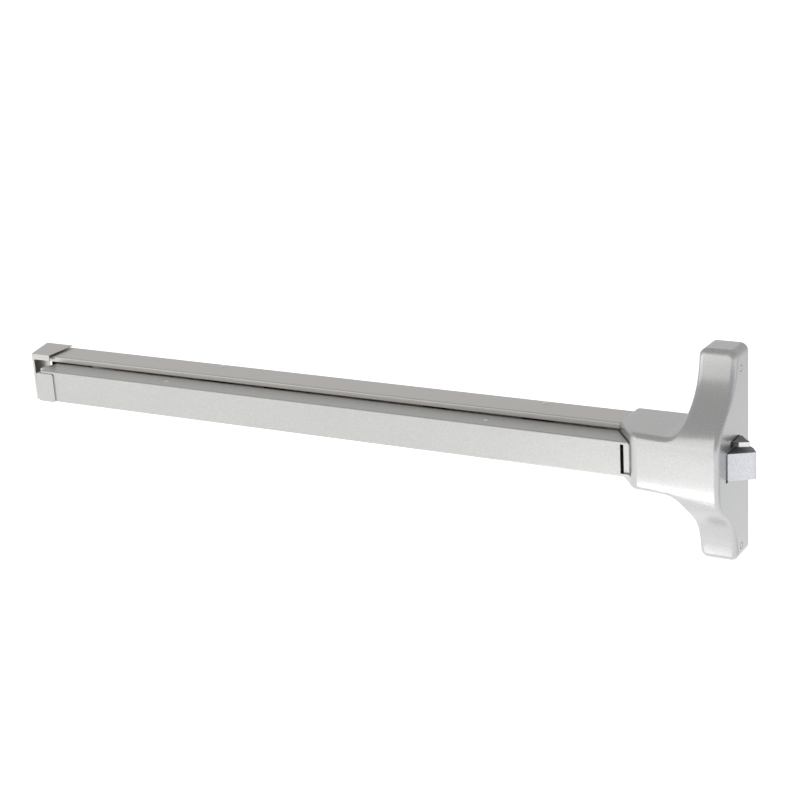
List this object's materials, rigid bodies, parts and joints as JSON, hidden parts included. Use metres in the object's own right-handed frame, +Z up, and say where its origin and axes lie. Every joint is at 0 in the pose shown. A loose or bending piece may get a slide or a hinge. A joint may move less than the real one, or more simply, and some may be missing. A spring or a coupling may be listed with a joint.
{
  "type": "panic exit bar",
  "caption": "Rim panic exit bar: rail channel, push bar on two swing links, T-shaped latch head with a bevelled latch bolt and an auxiliary latch.",
  "frame": {"origin": "centre of the latch head on the door face", "axes": "+X along the bar toward the latch end, +Y into the door, +Z up; the room is on the -Y side"},
  "size_m": [0.8902, 0.0834, 0.2128],
  "materials": {
    "rail_paint": "fine metallic silver paint, slightly warm",
    "bar_paint": "fine metallic silver paint with a light grain",
    "head_paint": "smooth metallic silver paint on a casting",
    "bolt_metal": "blasted steel, matt",
    "auxiliary_metal": "polished steel",
    "bright_steel": "bright plated",
    "plated_steel": "zinc plated, satin",
    "spring_steel": "oiled spring wire",
    "rubber": "moulded, matt"
  },
  "bodies": {
    "root": {"rail_channel": "rail_paint", "rail_end_cap": "rail_paint", "end_cap_screws": "plated_steel", "hinge_end_bracket": "plated_steel", "chassis_base": "plated_steel", "rail_joint_screws": "plated_steel", "latch_case": "plated_steel", "case_screws": "plated_steel", "head_cover": "head_paint", "cover_screws": "bright_steel", "rail_link_pins": "bright_steel", "stop_bumpers": "rubber", "crank_pivot_pin": "plated_steel", "crank_spring": "spring_steel", "auxiliary_guide_pin": "plated_steel", "auxiliary_spring": "spring_steel"},
    "left_link": {"left_link": "plated_steel"},
    "push_bar": {"push_bar": "bar_paint", "push_bar_end_cover": "bar_paint", "bar_actuator": "plated_steel", "actuator_screws": "plated_steel", "bar_link_pins": "bright_steel", "return_springs": "spring_steel"},
    "right_link": {"right_link": "plated_steel"},
    "crank": {"crank": "plated_steel", "crank_pins": "plated_steel"},
    "latch_bolt": {"latch_bolt": "bolt_metal", "latch_guide_pins": "plated_steel"},
    "auxiliary_latch": {"auxiliary_latch": "auxiliary_metal"}
  },
  "joints": [
    {"name": "left_link_swing", "type": "hinge", "parent": "root", "child": "left_link", "pos_m": [-0.59, -0.007, 0], "axis": [0, 0, -1], "range_deg": [0, 21], "stiffness_Nm_per_rad": 2, "springref_deg": -28.65, "deforming": ["crank_spring"]},
    {"name": "bar_swing", "type": "hinge", "parent": "left_link", "child": "push_bar", "pos_m": [-0.633, -0.056, 0], "axis": [0, 0, -1], "range_deg": [-21, 0], "deforming": ["return_springs"]},
    {"name": "right_link_swing", "type": "hinge", "parent": "root", "child": "right_link", "pos_m": [-0.193, -0.007, 0], "axis": [0, 0, -1], "range_deg": [0, 21]},
    {"name": "crank_turn", "type": "hinge", "parent": "root", "child": "crank", "pos_m": [-0.046, -0.022, 0], "axis": [0, 0, -1], "range_deg": [0, 48]},
    {"name": "latch_slide", "type": "slide", "parent": "root", "child": "latch_bolt", "axis": [-1, 0, 0], "range_m": [0, 0.022]},
    {"name": "auxiliary_slide", "type": "slide", "parent": "root", "child": "auxiliary_latch", "axis": [-1, 0, 0], "range_m": [0, 0.015], "stiffness_N_per_m": 250, "springref_m": -0.008, "deforming": ["auxiliary_spring"]}
  ],
  "couplings": [
    {"joint": "bar_swing", "follows": "left_link_swing", "ratio": -1},
    {"joint": "right_link_swing", "follows": "left_link_swing", "ratio": 1},
    {"joint": "crank_turn", "follows": "left_link_swing", "ratio": 2.2857},
    {"joint": "latch_slide", "follows": "left_link_swing", "m_per_rad": 0.060023}
  ]
}
